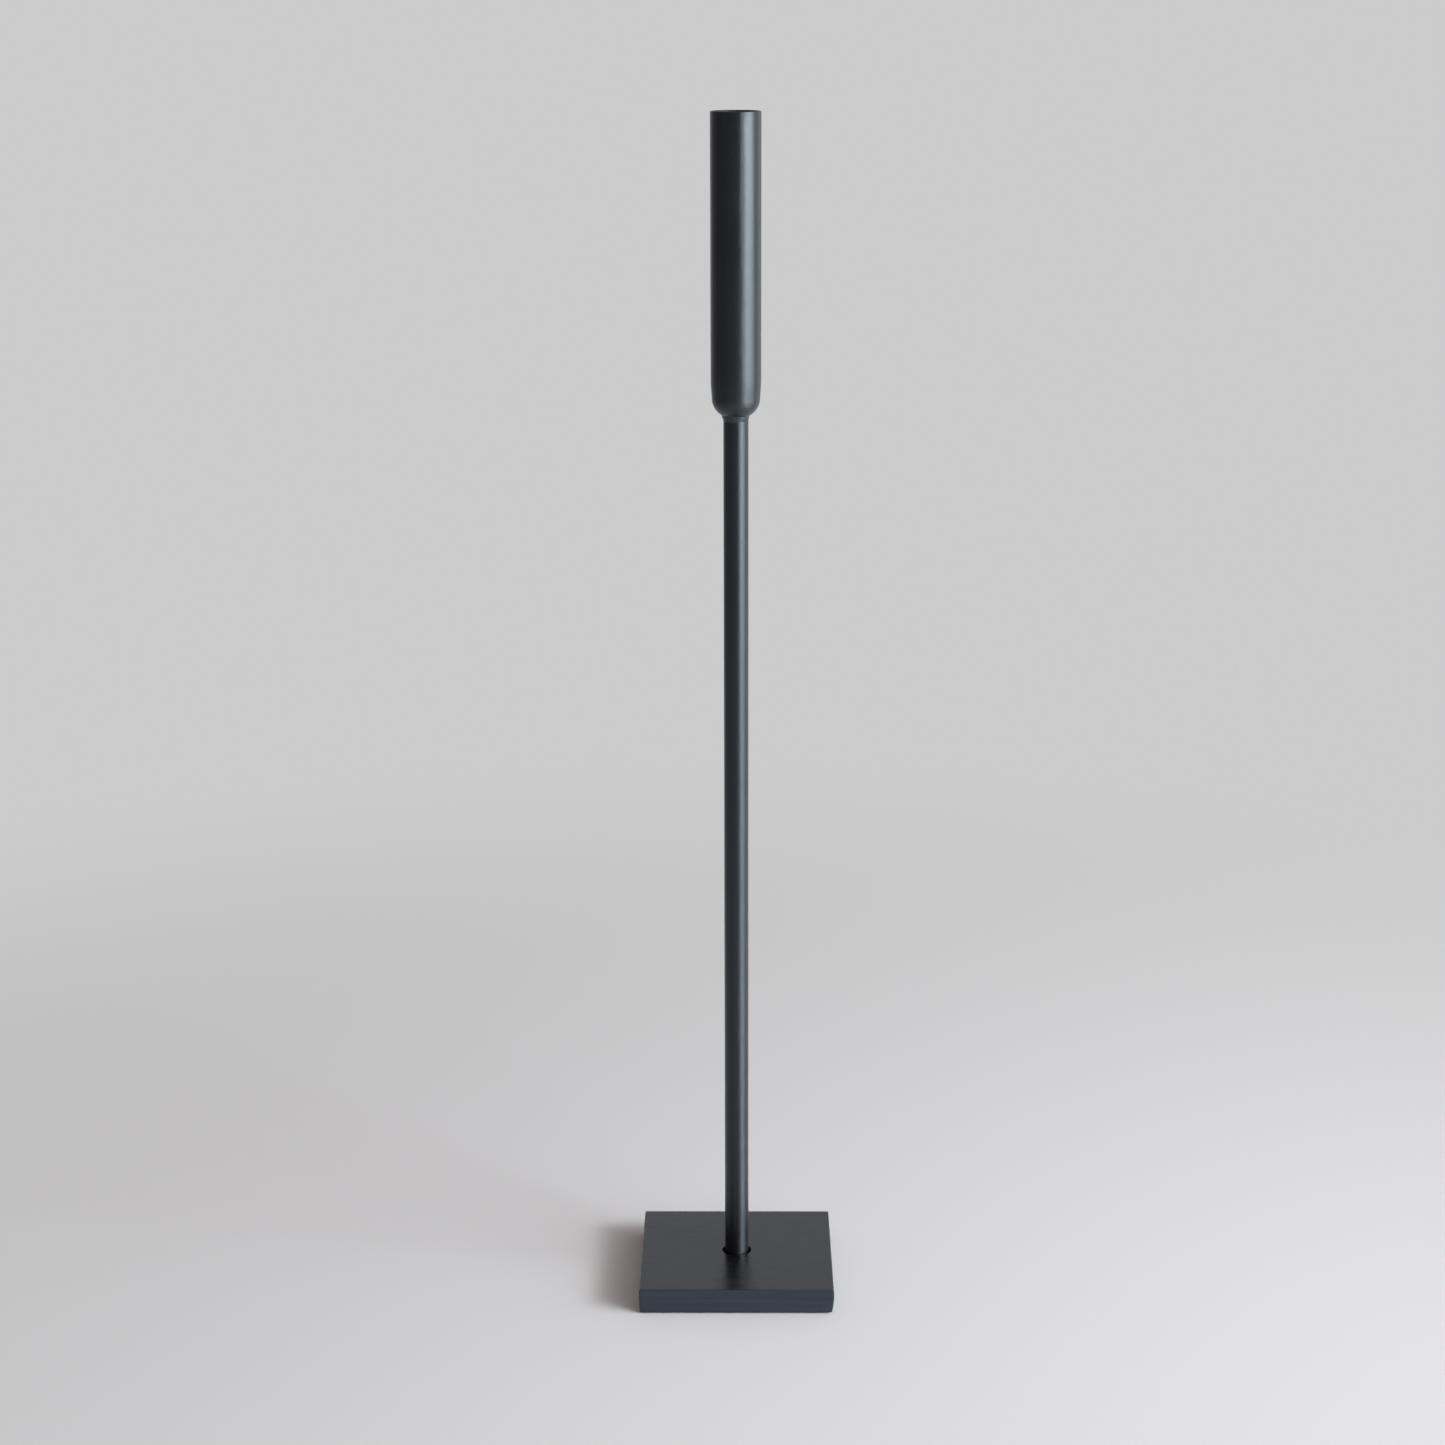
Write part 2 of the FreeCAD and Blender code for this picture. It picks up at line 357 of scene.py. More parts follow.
# Tones: darkest and lightest
DEEP = ((0.0020, 0.0020, 0.0025), (0.0036, 0.0037, 0.0046))
# The cut ends' tones are lighter and bluer than the lacquer elsewhere: a painted sheen of bluish
# daylight
CUT_END_TONES_PAINTED_SHEEN = ((0.0028, 0.0040, 0.0058), (0.0090, 0.0122, 0.0176))
OXIDE_TONES = ((0.035, 0.035, 0.038), (0.06, 0.058, 0.06))
FELT_TONES = ((0.006, 0.006, 0.007), (0.028, 0.028, 0.03))

OXIDE_ROUGHNESS = (0.34, 0.48)
OXIDE_RELIEF = 0.01 * MM
FELT_RELIEF = 0.25 * MM
DULL_SPECULAR = 0.3

lacquer_upright = lacquer(
    "lacquer_upright", UPRIGHT, DEEP, roughness=0.33, relief=0.026 * MM, dimples=380, fine=0.1
)
polished_round(lacquer_upright)
lacquer_inside = lacquer("lacquer_inside", UPRIGHT, DEEP, roughness=0.62, relief=0.02 * MM)
principled(lacquer_inside).inputs["Specular IOR Level"].default_value = DULL_SPECULAR
lacquer_weld = lacquer("lacquer_weld", EVEN, DEEP, roughness=0.22, relief=0.016 * MM)
lacquer_rolled = lacquer("lacquer_rolled", ACROSS, DEEP, roughness=0.28, relief=0.0009 * MM)
# The cut ends keep their own saw marks and rougher finish; their lighter, bluer tone is a painted sheen
lacquer_cut_painted_sheen = lacquer(
    "lacquer_cut_painted_sheen", SAW_MARKS, CUT_END_TONES_PAINTED_SHEEN, roughness=0.5, relief=0.03 * MM, patches=260, patchiness=0.08
)
oxide = black_oxide("black_oxide")
pad_felt = felt("pad_felt")


def dress(piece, material, slot, *nodes):
    """Finish a piece: its material, body and the CAD nodes that it stands for. The record slot is not
    used.
    """
    piece.data.materials.append(material)
    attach(piece, "root")
    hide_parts(*nodes)
    return piece


# ---------------------------------------------------------------- base plate

TOP_LIP = 0.3 * MM
LIP_TURNS = (0, 0.5, 1.05)
RECESS_CORNER = 0.2 * MM
ARRIS = 0.3 * MM
CORNER = 0.45 * MM

# How much of an inset the corners' radius loses
CORNER_LOSS = 0.7

# A rolled edge: its fall-back at the top face, how deep its fullest part lies, its fall-back at
# the underside
ROLLED_RIGHT = (0.45 * MM, 2.8 * MM, 1.1 * MM)
ROLLED_LEFT = (0.3 * MM, 2.2 * MM, 0.45 * MM)

# The sides' waves, a third as long up and down: they start at a distance from the middle, and
# grow by their size with each millimetre outwards
WAVE_SIZE = 0.05 * MM
WAVE_LENGTH = 14 * MM
WAVE_SQUEEZE = 3
WAVE_FROM = 50 * MM

# Dips in the top and the underside
FACE_DIP = 0.012 * MM
FACE_DIP_LENGTH = 24 * MM

SIDE_STEPS = 44
CORNER_STEPS = 4
ARRIS_STEPS = 4
TOP_ROWS = 34
SIDE_ROWS = 9
UNDERSIDE_ROWS = 22
CUT_FACE_NORMAL = 0.8


def rolled_fallback(rolled_edge, depth, thickness):
    """How far a rolled edge lies inside its fullest part, a given depth below the top face."""
    top, fullest, bottom = rolled_edge
    if depth < fullest:
        return top * ((fullest - depth) / fullest) ** 2
    return bottom * ((depth - fullest) / (thickness - fullest)) ** 2


def corner_centre(x, y, corner):
    return Vector((x - math.copysign(corner, x), y - math.copysign(corner, y)))


def plate_outline(left, right, half_y, corner):
    """Points round the plate from the start of its right side, as many whatever the sizes."""
    corners = [(right, half_y), (left, half_y), (left, -half_y), (right, -half_y)]
    points = []
    for quarter, (x, y) in enumerate(corners):
        here = corner_centre(x, y, corner)
        before = corner_centre(*corners[quarter - 1], corner)
        first = quarter * math.pi / 2
        outward = Vector((math.cos(first), math.sin(first))) * corner
        for step in range(SIDE_STEPS):
            points.append(before.lerp(here, (step + 0.5) / SIDE_STEPS) + outward)
        for step in range(CORNER_STEPS + 1):
            bend = first + math.pi / 2 * step / CORNER_STEPS
            points.append(here + Vector((math.cos(bend), math.sin(bend))) * corner)
    return points


def base_plate():
    top = plate_high.z
    bottom = plate_low.z
    thickness = top - bottom
    recess_r = stem_r + RECESS_GAP
    cone_top = bottom + (COUNTERSINK_R - SCREW_HOLE_R) / math.tan(COUNTERSINK_HALF_ANGLE)
    full_outline = plate_outline(plate_low.x, plate_high.x, plate_high.y, CORNER)
    directions = [point.normalized() for point in full_outline]

    def ring(radius, height):
        """A circle, its points in the directions of the outline's points."""
        return [Vector((*(direction * radius), height)) for direction in directions]

    def edge(inset, height):
        """The outline at a height, drawn in by inset and by the rolled edges' own fall-back."""
        depth = min(max(top - height, 0), thickness)
        right = plate_high.x - inset - rolled_fallback(ROLLED_RIGHT, depth, thickness)
        left = plate_low.x + inset + rolled_fallback(ROLLED_LEFT, depth, thickness)
        corner = CORNER - inset * CORNER_LOSS
        row = []
        for point in plate_outline(left, right, plate_high.y - inset, corner):
            towards_side = max(0, (abs(point.x) - WAVE_FROM) / MM)
            spot = Vector((point.x, point.y, height * WAVE_SQUEEZE))
            wave = WAVE_SIZE * roughness_at(spot / WAVE_LENGTH)
            inwards = math.copysign(wave * towards_side, point.x)
            row.append(Vector((point.x - inwards, point.y, height)))
        return row

    def arris(height, inwards_sign):
        """Rows of a small quarter round between a flat face and the sides."""
        rows = []
        for step in range(ARRIS_STEPS + 1):
            bend = math.pi / 2 * step / ARRIS_STEPS
            inset = ARRIS * (1 - math.sin(bend))
            rows.append(edge(inset, height + inwards_sign * ARRIS * (1 - math.cos(bend))))
        return rows

    def between(first, last, count, power):
        """Rows between two rows: closer to the first for a power over 1, to the last under 1."""
        rows = []
        for step in range(1, count):
            share = (step / count) ** power
            rows.append([a.lerp(b, share) for a, b in zip(first, last)])
        return rows

    lip = []
    for turn in LIP_TURNS:
        lip_r = recess_r + TOP_LIP * (1 - math.cos(turn))
        lip.append(ring(lip_r, top - TOP_LIP * (1 - math.sin(turn))))
    lip.append(ring(recess_r + TOP_LIP, top))
    top_arris = arris(top, -1)
    bottom_arris = arris(bottom, 1)[::-1]
    rows = [ring(SCREW_HOLE_R, seat), ring((SCREW_HOLE_R + recess_r) / 2, seat)]
    rows += [ring(recess_r - RECESS_CORNER, seat), ring(recess_r, seat + RECESS_CORNER)]
    rows += [ring(recess_r, (seat + top) / 2)]
    rows += lip
    rows += between(lip[-1], top_arris[0], TOP_ROWS, power=1.25)
    rows += top_arris
    for step in range(1, SIDE_ROWS):
        rows.append(edge(0, top - ARRIS - (thickness - 2 * ARRIS) * step / SIDE_ROWS))
    rows += bottom_arris
    mouth = ring(COUNTERSINK_R, bottom)
    rows += between(bottom_arris[-1], mouth, UNDERSIDE_ROWS, power=0.85)
    rows += [mouth, ring(SCREW_HOLE_R, cone_top)]
    rows += [ring(SCREW_HOLE_R, (cone_top + seat) / 2)]
    # rows run from the hole outwards over the top: taken backwards, their faces look outwards
    vertices = [uneven(spot, top, bottom) for row in reversed(rows) for spot in row]
    faces = grid_faces(len(rows), len(directions), wrap_rows=True)
    return make_object("plate_lacquered", vertices, faces, sharp=60)


def uneven(spot, top, bottom):
    """The plate's top and underside dip a little here and there, and never bulge."""
    dip = FACE_DIP * roughness_at(spot / FACE_DIP_LENGTH)
    if spot.z > top - TINY:
        return (spot.x, spot.y, spot.z - dip)
    if spot.z < bottom + TINY:
        return (spot.x, spot.y, spot.z + dip)
    return tuple(spot)


plate = dress(base_plate(), lacquer_rolled, "black_lacquered_steel", "base_plate")
plate.data.materials.append(lacquer_cut_painted_sheen)
for face in plate.data.polygons:
    # the front and back faces are the bar's cut ends, given a lighter, bluer tone that is a painted
    # sheen of bluish daylight
    face.material_index = int(abs(face.normal.y) > CUT_FACE_NORMAL)


# ---------------------------------------------------------------- stem

STEM_CHAMFER = 0.5 * MM
CHAMFER_INNER_ROUND = 0.1 * MM
CHAMFER_OUTER_ROUND = 0.3 * MM

# How far the surface lies inside the full size on the whole, then its unevenness: size, length
# round the surface, and how many times longer it is up and down
STEM_DEPTH = 0.018 * MM
STEM_SWELLS = (0.012 * MM, 6 * MM, 9)
STEM_DRAW_LINES = (0.014 * MM, 1.4 * MM, 40)


def stem():
    hole_end = seat + TAP_DEPTH
    outline = [(0, hole_end + TAP_END_CONE, 0), (TAP_ROOT_R, hole_end, 0)]
    outline += thread_rings(TAP_ROOT_R, TAP_CREST_R, hole_end)[::-1]
    outline += [(TAP_ROOT_R, THREAD_START, 0), (TAP_MOUTH_R, seat, 0)]
    end_r = stem_r - STEM_CHAMFER
    outline += [(end_r, seat, CHAMFER_INNER_ROUND), (stem_r, seat + STEM_CHAMFER, CHAMFER_OUTER_ROUND)]
    outline += [(stem_r, stem_high.z - STEM_CHAMFER, CHAMFER_OUTER_ROUND)]
    outline += [(end_r, stem_high.z, CHAMFER_INNER_ROUND), (0, stem_high.z, 0)]

    def shape(angle, radius, height):
        if radius < stem_r - TINY:
            return radius, height
        # drawn bar: long faint swells and draw lines, never past its full size
        dip = STEM_DEPTH + swell(angle, radius, height, *STEM_SWELLS)
        dip += swell(angle, radius, height, *STEM_DRAW_LINES)
        return radius - max(dip, 0), height

    outline = divided(rounded(outline), longest=3 * MM)
    return turned("stem_lacquered", outline, shape, columns=96)


dress(stem(), lacquer_upright, "black_lacquered_steel", "stem_rod")


# ---------------------------------------------------------------- candle cup

CUP_CLEARANCE = 0.05 * MM
NECK_BLEND = 30 * MM
RIM_ROUND = 0.15 * MM

# Unevenness, as the stem's
TUBE_DEPTH = 0.034 * MM
TUBE_SWELLS = (0.03 * MM, 9 * MM, 5)
TUBE_DRAW_LINES = (0.026 * MM, 1.8 * MM, 28)
SPIN_RINGS = 0.012 * MM
SPIN_RING_SPACING = 0.55 * MM
NECK_DENT = 0.05 * MM
NECK_DENT_LENGTH = 0.7 * MM

# Where it is uneven: the tube's outer skin but for its rim, and the nose but for its end
OUTER_SKIN = 1.1 * MM
RIM_LEFT_TRUE = 0.5 * MM
NOSE_BELOW_SHOULDER = 4 * MM
NOSE_END_LEFT_TRUE = 1 * MM

BORE_MARGIN = 0.1 * MM

hole_r = stem_r + CUP_CLEARANCE
shoulder_r = cup_r - NECK_IN
nose_centre_r = shoulder_r - NOSE_RADIUS


def nose_depth(radius, arc_radius):
    return math.sqrt(arc_radius**2 - (radius - nose_centre_r) ** 2)


shoulder = cup_low.z + nose_depth(hole_r, NOSE_RADIUS)
neck_top = shoulder + NECK_HEIGHT


def nose_points(start_r, end_r, arc_radius, steps=26):
    """Points along the nose, evenly turned, from one radius to another."""
    first = math.acos((start_r - nose_centre_r) / arc_radius)
    last = math.acos(min(1, (end_r - nose_centre_r) / arc_radius))
    points = []
    for step in range(steps + 1):
        bend = first + (last - first) * step / steps
        radius = nose_centre_r + arc_radius * math.cos(bend)
        points.append(Vector((radius, shoulder - arc_radius * math.sin(bend))))
    return points


def cup():
    tube_wall = cup_r - tube_bore_r
    inner_shoulder_r = shoulder_r - tube_wall
    rim = cup_high.z
    wall = [(shoulder_r, shoulder, 0), (cup_r, neck_top, NECK_BLEND), (cup_r, rim, RIM_OUTER_ROUND)]
    wall += [(socket_r + RIM_INNER_BREAK, rim, RIM_ROUND), (socket_r, rim - RIM_INNER_BREAK, RIM_ROUND)]
    wall += [(socket_r, stop_high.z, 0), (tube_bore_r, stop_high.z, 0)]
    wall += [(tube_bore_r, neck_top, 0), (inner_shoulder_r, shoulder, 0)]
    outline = nose_points(hole_r, shoulder_r, NOSE_RADIUS)[:-1]
    outline += divided(rounded(wall), longest=2.5 * MM)
    outline += nose_points(inner_shoulder_r, hole_r, NOSE_RADIUS - tube_wall, steps=10)[1:]

    def shape(angle, radius, height):
        on_tube = radius > cup_r - OUTER_SKIN and height < rim - RIM_LEFT_TRUE
        on_nose = cup_low.z + NOSE_END_LEFT_TRUE <= height < shoulder - NOSE_BELOW_SHOULDER
        if not (on_tube or on_nose):
            return radius, height
        # tube: long soft swells and fine draw lines
        dip = TUBE_DEPTH + swell(angle, radius, height, *TUBE_SWELLS)
        dip += swell(angle, radius, height, *TUBE_DRAW_LINES)
        # spun end: turning rings that fade out up the neck
        rings = max(0, 1 - max(0, height - shoulder) / NECK_HEIGHT)
        dip += rings * SPIN_RINGS * (1 + math.sin(height / SPIN_RING_SPACING + 2 * math.sin(angle)))
        # a faint dent round the top of the neck, deepest on the left
        dent = math.exp(-(((height - neck_top) / NECK_DENT_LENGTH) ** 2))
        dip += NECK_DENT * dent * (0.5 + 0.5 * math.cos(angle - math.pi))
        return radius - max(dip, 0), height

    return turned("cup_lacquered", outline, shape, columns=192, sharp=50)


cup_piece = dress(cup(), lacquer_upright, "black_lacquered_steel", "candle_cup")
cup_piece.data.materials.append(lacquer_inside)
for face in cup_piece.data.polygons:
    # the bore got only a thin dull coat
    in_bore = face.center.xy.length < socket_r + BORE_MARGIN and face.center.z > shoulder
    face.material_index = int(in_bore)


# ---------------------------------------------------------------- weld bead

WELD_COLUMNS = 288
WELD_ROWS = 18

# A leg of the fillet: its least length, what the left side adds, how far it wanders
LEG_OUT = (0.42 * MM, 0.73 * MM, 0.10 * MM)
LEG_DOWN = (2.4 * MM, 0.6 * MM, 0.35 * MM)
LEG_MARGIN = 0.02 * MM
WANDER_WAVES = 1.7

# How deep the bead's edges lie in the nose and the stem, where the two rings that close it behind
# lie, and how long its face keeps to the stem and to the nose, as shares of the legs
INTO_NOSE = 0.04 * MM
INTO_STEM = 0.03 * MM
BEHIND_UP = 0.3 * MM
BEHIND_IN = 0.2 * MM
HOLD_TO_STEM = 0.35
HOLD_TO_NOSE = 0.45

# The bead over that face: its crown, its ripples and how they bend, its ridges, its lumps
CROWN = 0.13 * MM
CROWN_POWER = 1.5
RIPPLE = 0.018 * MM
RIPPLES_ROUND = 34
RIPPLE_BEND = 2.6
RIPPLE_WANDER = 1.5
RIDGE = 0.035 * MM
RIDGES_ACROSS = 1.6
RIDGE_WANDER = 0.5
LUMP = 0.06 * MM
LUMPS_ROUND = 6
LUMPS_ACROSS = 2


def bezier(start, first, second, end, share):
    rest = 1 - share
    spot = start * rest**3 + first * 3 * rest**2 * share
    return spot + second * 3 * rest * share**2 + end * share**3


def weld_leg(leg, left, wander, longest):
    """Length of a leg, with left from 0 on the right to 1 on the left, and wander about +-1."""
    least, on_left, wandering = leg
    return min(least + on_left * left + wandering * wander, longest - LEG_MARGIN)


def weld():
    """Hand-laid fillet under its lacquer: soft ripples, its upper leg much longer on the left."""
    vertices = []
    for row in range(WELD_ROWS + 1):
        share = row / WELD_ROWS
        for column in range(WELD_COLUMNS):
            angle = 2 * math.pi * column / WELD_COLUMNS
            around = Vector((math.cos(angle), math.sin(angle), 0))
            wander = noise.noise(around * WANDER_WAVES)
            left = 0.5 - 0.5 * math.cos(angle)
            leg_out = weld_leg(LEG_OUT, left, wander, weld_high.x - stem_r)
            leg_down = weld_leg(LEG_DOWN, left, wander, cup_low.z - weld_low.z)
            outer_r = stem_r + leg_out
            outer = Vector((outer_r, shoulder - nose_depth(outer_r, NOSE_RADIUS) + INTO_NOSE))
            toe = Vector((stem_r - INTO_STEM, cup_low.z - leg_down))
            # the face leaves the stem along the stem and runs out along the nose
            nose_turn = math.acos((outer_r - nose_centre_r) / NOSE_RADIUS)
            along_nose = Vector((math.sin(nose_turn), math.cos(nose_turn)))
            up_stem = toe + Vector((0, HOLD_TO_STEM * leg_down))
            back_along_nose = outer - along_nose * HOLD_TO_NOSE * leg_out
            spot = bezier(toe, up_stem, back_along_nose, outer, share)
            out = Vector((outer.y - toe.y, -(outer.x - toe.x))).normalized()
            body = math.sin(math.pi * share) ** CROWN_POWER
            # crescent ripples, and low ridges where one run of the bead laps the next
            ripple = math.cos(RIPPLES_ROUND * angle + RIPPLE_BEND * body + RIPPLE_WANDER * wander)
            ridge = math.cos(2 * math.pi * (RIDGES_ACROSS * share + RIDGE_WANDER * wander))
            lumps = noise.noise(Vector((*(around * LUMPS_ROUND).xy, share * LUMPS_ACROSS)))
            spot += out * (body * (CROWN + RIPPLE * ripple + RIDGE * ridge + LUMP * lumps))
            vertices.append((spot.x * math.cos(angle), spot.x * math.sin(angle), spot.y))
    # two rings behind the face close the bead, in the nose and in the stem
    for radius, height in ((hole_r, cup_low.z + BEHIND_UP), (stem_r - BEHIND_IN, cup_low.z)):
        for column in range(WELD_COLUMNS):
            angle = 2 * math.pi * column / WELD_COLUMNS
            vertices.append((radius * math.cos(angle), radius * math.sin(angle), height))
    faces = grid_faces(WELD_ROWS + 3, WELD_COLUMNS, wrap_rows=True)
    return make_object("weld_bead", vertices, faces, sharp=60)


dress(weld(), lacquer_weld, "black_lacquered_steel", "cup_weld")


# ---------------------------------------------------------------- candle stop

STOP_INNER_CORNER = 0.5 * MM
STOP_SKIRT_ROUND = 0.15 * MM
STOP_TOP_ZONE = 0.5 * MM
STOP_RINGS = 0.012 * MM
STOP_RING_SPACING = 0.5 * MM
STOP_HOLLOW = 0.25 * MM


def candle_stop():
    top = stop_high.z
    skirt_end = stop_low.z
    inner_r = tube_bore_r - STOP_WALL
    under = top - STOP_WALL
    outline = [(0, under, 0), (inner_r, under, STOP_INNER_CORNER)]
    outline += [(inner_r, skirt_end, STOP_SKIRT_ROUND), (tube_bore_r, skirt_end, STOP_SKIRT_ROUND)]
    outline += [(tube_bore_r, top, STOP_CORNER), (0, top, 0)]

    def shape(angle, radius, height):
        if height < top - STOP_TOP_ZONE:
            return radius, height
        # drawn sheet: faint rings and a slight hollow in the middle
        rings = STOP_RINGS * (1 + math.sin(radius / STOP_RING_SPACING))
        hollow = STOP_HOLLOW * (1 - (radius / tube_bore_r) ** 2)
        return radius, height - rings - hollow

    outline = divided(rounded(outline, steps=8), longest=0.6 * MM)
    return turned("stop_lacquered", outline, shape, columns=96)


dress(candle_stop(), lacquer_rolled, "black_lacquered_steel", "candle_stop")


# ---------------------------------------------------------------- felt pads

PAD_LOWER_ROUND = 0.25 * MM
PAD_UPPER_ROUND = 0.1 * MM
FRAY_LENGTH = 0.55 * MM
SIDE_ZONE = 0.3 * MM
SIDE_FRAY = 0.22 * MM
UNDER_ZONE = 0.1 * MM
UNDER_FRAY = 0.10 * MM


def foot_pad(node):
    low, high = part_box(node)
    centre = (low + high) / 2
    full_r = (high.x - low.x) / 2
    outline = [(0, low.z, 0), (full_r, low.z, PAD_LOWER_ROUND)]
    outline += [(full_r, high.z, PAD_UPPER_ROUND), (0, high.z, 0)]

    def shape(angle, radius, height):
        spot = Vector((radius * math.cos(angle), radius * math.sin(angle), height)) + centre
        rough = roughness_at(spot / FRAY_LENGTH)
        if radius > full_r - SIDE_ZONE:
            return radius - SIDE_FRAY * rough, height
        if height < low.z + UNDER_ZONE:
            return radius, height + UNDER_FRAY * rough
        return radius, height

    outline = divided(rounded(outline, steps=3), longest=0.35 * MM)
    made = turned(node + "_felt", outline, shape, columns=120, sharp=180)
    made.data.transform(Matrix.Translation((centre.x, centre.y, 0)))
    return made


for pad_node in sorted(name for name in frame["nodes"] if name.startswith("foot_pad")):
    dress(foot_pad(pad_node), pad_felt, "felt", pad_node)


# ---------------------------------------------------------------- screw

HEAD_LOWER_ROUND = 0.12 * MM
HEAD_UPPER_ROUND = 0.08 * MM
TIP_ROUND = 0.1 * MM
BROACH_STEP = 0.02 * MM
HEX_MARGIN = 0.01 * MM


def screw():
    """Flat-head socket screw: eased edges, a broached hexagon and the hole's own thread rings."""
    head_r = screw_high.x
    land_end = screw_low.z + HEAD_LAND
    shank_r = TAP_ROOT_R - THREAD_CLEARANCE
    crest_r = TAP_CREST_R - THREAD_CLEARANCE
    hex_r = HEX_ACROSS_FLATS / 2
    hex_end = screw_low.z + HEX_DEPTH
    tip = screw_high.z
    thread_end = tip - SCREW_TIP_CHAMFER
    outline = [(0, hex_end + hex_r / math.tan(DRILL_HALF_ANGLE), 0)]
    outline += [(hex_r - BROACH_STEP, hex_end + BROACH_STEP, 0), (hex_r, hex_end, 0)]
    outline += [(hex_r, screw_low.z + HEX_LEAD, 0), (hex_r + HEX_LEAD, screw_low.z, 0)]
    outline += [(head_r, screw_low.z, HEAD_LOWER_ROUND), (head_r, land_end, HEAD_UPPER_ROUND)]
    outline += [(shank_r, land_end + (head_r - shank_r) / math.tan(COUNTERSINK_HALF_ANGLE), 0)]
    outline += thread_rings(shank_r, crest_r, thread_end)
    outline += [(shank_r, thread_end, 0), (shank_r - SCREW_TIP_CHAMFER, tip, TIP_ROUND), (0, tip, 0)]

    def shape(angle, radius, height):
        if height > hex_end + HEX_MARGIN or radius > hex_r + HEX_LEAD + HEX_MARGIN:
            return radius, height
        # the broached part follows a hexagon: its flats are nearest the axis
        from_flat = (angle + math.pi / 6) % (math.pi / 3) - math.pi / 6
        return radius / math.cos(from_flat), height

    outline = divided(rounded(outline), longest=1.5 * MM)
    return turned("screw_oxide", outline, shape, columns=96, sharp=30)


dress(screw(), oxide, "black_oxide_steel", "stem_screw")


# ---------------------------------------------------------------- floor, backdrop and light

FLOOR_RINGS = (0.3, 0.6, 1.2, 2.4, 5, 12, 40)
FLOOR_SIDES = 64
FLOOR_MATT = (0.555, 0.492, 0.452)
PALE = (0.60, 0.60, 0.605)
WALL = (0.585, 0.60, 0.65)
DIM = (0.20, 0.19, 0.195)
CEILING = (0.52, 0.52, 0.54)

# Metres from the stand between which the floor fades into the room or the background
REFLECTED_FADE = (1.8, 5.0)
SEEN_FADE = (0.12, 1.1)

# Directions in the room: behind the stand and a little to its right, and straight up
BEHIND = (0.35, 1.0, 0.0)
UP = (0.0, 0.0, 1.0)


def surroundings(tree, direction):
    """The room by direction, for all but the camera: dim in front, a pale wall behind, a ceiling."""

    def blend(first, second, axis, start, end):
        """From the first colour to the second as the direction turns towards an axis."""
        towards = tree.nodes.new("ShaderNodeVectorMath")
        towards.operation = "DOT_PRODUCT"
        towards.inputs[1].default_value = axis
        tree.links.new(direction, towards.inputs[0])
        share = tree.nodes.new("ShaderNodeMapRange")
        share.interpolation_type = "SMOOTHSTEP"
        share.inputs["From Min"].default_value = start
        share.inputs["From Max"].default_value = end
        tree.links.new(towards.outputs["Value"], share.inputs["Value"])
        mix = tree.nodes.new("ShaderNodeMix")
        mix.data_type = "RGBA"
        tree.links.new(share.outputs["Result"], mix.inputs["Factor"])
        for colour, name in ((first, "A"), (second, "B")):
            if isinstance(colour, tuple):
                mix.inputs[name].default_value = (*colour, 1)
            else:
                tree.links.new(colour, mix.inputs[name])
        return mix.outputs["Result"]

    walls = blend(DIM, WALL, BEHIND, start=-0.1, end=0.9)
    return blend(walls, CEILING, UP, start=0.55, end=0.95)


def studio():
    """A pale floor, lit near the stand and fading into the even pale tone of the background."""
    vertices = [(0, 0, 0)]
    for radius in FLOOR_RINGS:
        for side in range(FLOOR_SIDES):
            turn = 2 * math.pi * side / FLOOR_SIDES
            vertices.append((radius * math.cos(turn), radius * math.sin(turn), 0))
    faces = [(0, 1 + side, 1 + (side + 1) % FLOOR_SIDES) for side in range(FLOOR_SIDES)]
    for ring in range(len(FLOOR_RINGS) - 1):
        start = 1 + ring * FLOOR_SIDES
        out = start + FLOOR_SIDES
        for side in range(FLOOR_SIDES):
            beside = (side + 1) % FLOOR_SIDES
            faces.append((start + side, out + side, out + beside, start + beside))
    floor = make_object("studio_floor", vertices, faces, sharp=180)

    n = Nodes("studio_pale")
    n.set(Base_Color=(0.70, 0.70, 0.71, 1), Roughness=0.15, IOR=1.8)
    plain = n.add("ShaderNodeBsdfDiffuse")
    plain.inputs["Color"].default_value = (*FLOOR_MATT, 1)
    distance = n.add("ShaderNodeVectorMath", operation="LENGTH")
    n.link(n.place, distance.inputs[0])
    outwards = n.add("ShaderNodeVectorMath", operation="NORMALIZE")
    n.link(n.place, outwards.inputs[0])

    def mixed(factor, first, second):
        mix = n.add("ShaderNodeMixShader")
        n.link(factor, mix.inputs["Fac"])
        n.link(first, mix.inputs[1])
        n.link(second, mix.inputs[2])
        return mix.outputs["Shader"]

    def faded(shader, glow, start, end):
        fade = n.add("ShaderNodeMapRange", interpolation_type="SMOOTHSTEP")
        fade.inputs["From Min"].default_value = start
        fade.inputs["From Max"].default_value = end
        n.link(distance.outputs["Value"], fade.inputs["Value"])
        return mixed(fade.outputs["Result"], shader, glow.outputs["Emission"])

    far = n.add("ShaderNodeEmission")
    n.link(surroundings(n.tree, outwards.outputs["Vector"]), far.inputs["Color"])
    pale = n.add("ShaderNodeEmission")
    pale.inputs["Color"].default_value = (*PALE, 1)

    # reflections see a polished top that fades into the room; the camera sees an even pale one
    reflected = faded(n.shader.outputs["BSDF"], far, *REFLECTED_FADE)
    seen = faded(plain.outputs["BSDF"], pale, *SEEN_FADE)
    camera_ray = n.add("ShaderNodeLightPath").outputs["Is Camera Ray"]
    n.link(mixed(camera_ray, reflected, seen), n.tree.nodes["Material Output"].inputs["Surface"])
    floor.data.materials.append(n.material)


DAYLIGHT = (0.74, 0.87, 1.0)
WINDOW = (0.02, 1.87)
SKY = (1.0, 1.6)


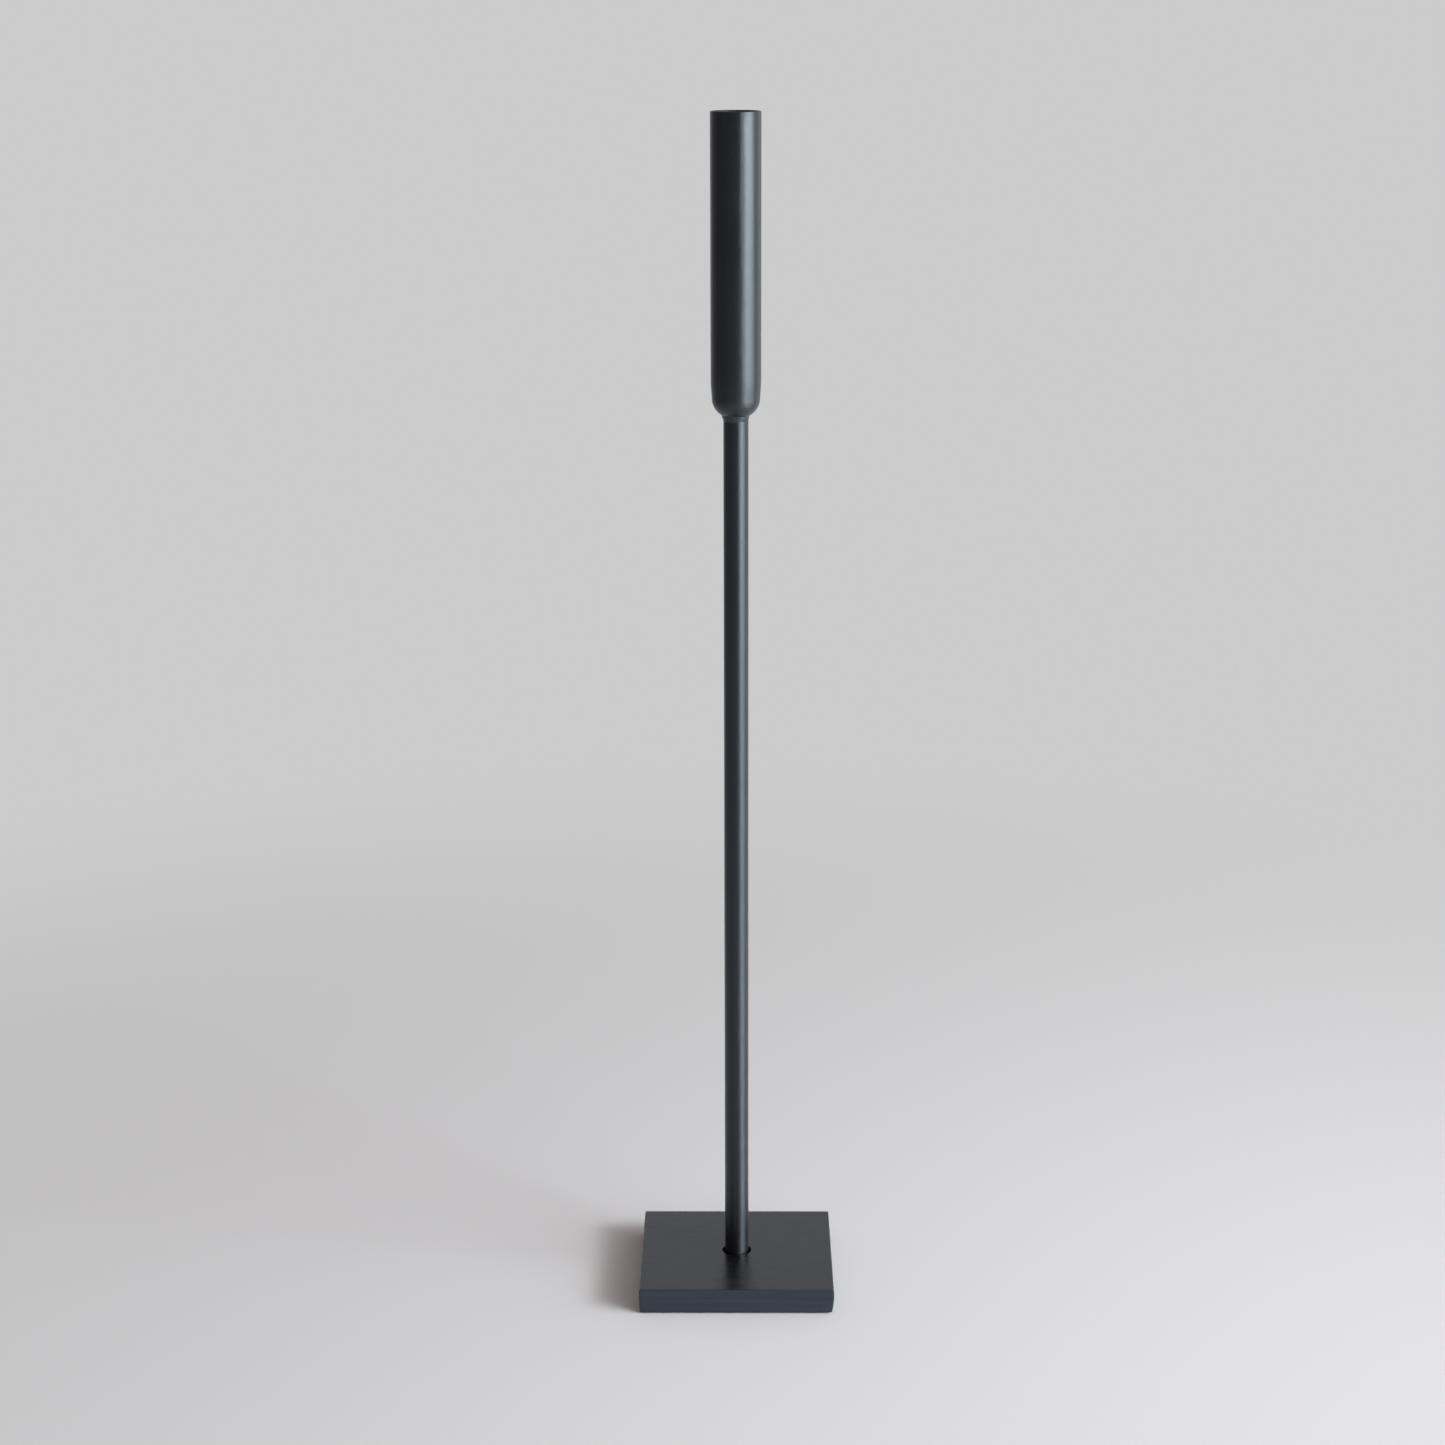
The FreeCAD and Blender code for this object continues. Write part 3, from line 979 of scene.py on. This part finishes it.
def area_light(name, azimuths, heights, distance, radiance):
    """An upright soft light that faces the stand. Azimuth turns from the front towards +X."""
    turn = math.radians(sum(azimuths) / 2)
    half_angle = math.radians(azimuths[1] - azimuths[0]) / 2
    data = bpy.data.lights.new(name, "AREA")
    data.shape = "RECTANGLE"
    data.size = 2 * distance * math.tan(half_angle)
    data.size_y = heights[1] - heights[0]
    data.energy = radiance * math.pi * data.size * data.size_y
    data.color = DAYLIGHT
    light = bpy.data.objects.new(name, data)
    light.location = (distance * math.sin(turn), -distance * math.cos(turn), sum(heights) / 2)
    light.rotation_euler = (math.pi / 2, 0, turn)
    light.visible_camera = False
    bpy.context.scene.collection.objects.link(light)


def world():
    """Even pale background for the camera, the room for all else."""
    made = bpy.data.worlds.new("pale_wall_dim_room")
    made.use_nodes = True
    bpy.context.scene.world = made
    tree = made.node_tree
    mix = tree.nodes.new("ShaderNodeMix")
    mix.data_type = "RGBA"
    camera_ray = tree.nodes.new("ShaderNodeLightPath").outputs["Is Camera Ray"]
    tree.links.new(camera_ray, mix.inputs["Factor"])
    direction = tree.nodes.new("ShaderNodeTexCoord").outputs["Generated"]
    tree.links.new(surroundings(tree, direction), mix.inputs["A"])
    mix.inputs["B"].default_value = (*PALE, 1)
    tree.links.new(mix.outputs["Result"], tree.nodes["Background"].inputs["Color"])


studio()
world()
area_light("window_left", azimuths=(24, 40), heights=WINDOW, distance=2.2, radiance=5.0)
area_light("window_middle", azimuths=(40, 64), heights=WINDOW, distance=2.2, radiance=8.6)
area_light("window_right", azimuths=(64, 92), heights=WINDOW, distance=2.2, radiance=5.6)
area_light("window_sky", azimuths=(44, 80), heights=SKY, distance=2.8, radiance=37)
area_light("side_wall", azimuths=(92, 140), heights=WINDOW, distance=2.4, radiance=1.0)


# ---------------------------------------------------------------- camera

CAMERA_PLACE = Vector((3.4, -1446.2, 669.5)) * MM
CAMERA_PITCH = math.radians(14.074)
CAMERA_YAW = math.radians(0.415)
CAMERA_ROLL = math.radians(-0.125)
CAMERA_LENS = 72.05
SENSOR_WIDTH = 36


def camera():
    data = bpy.data.cameras.new("camera")
    data.sensor_width = SENSOR_WIDTH
    data.lens = CAMERA_LENS
    made = bpy.data.objects.new("camera", data)
    bpy.context.scene.collection.objects.link(made)
    yaw = Matrix.Rotation(CAMERA_YAW, 4, "Z")
    pitch = Matrix.Rotation(math.pi / 2 - CAMERA_PITCH, 4, "X")
    roll = Matrix.Rotation(CAMERA_ROLL, 4, "Z")
    made.matrix_world = Matrix.Translation(CAMERA_PLACE) @ yaw @ pitch @ roll
    bpy.context.scene.camera = made


camera()
bpy.context.scene.view_settings.view_transform = "Standard"
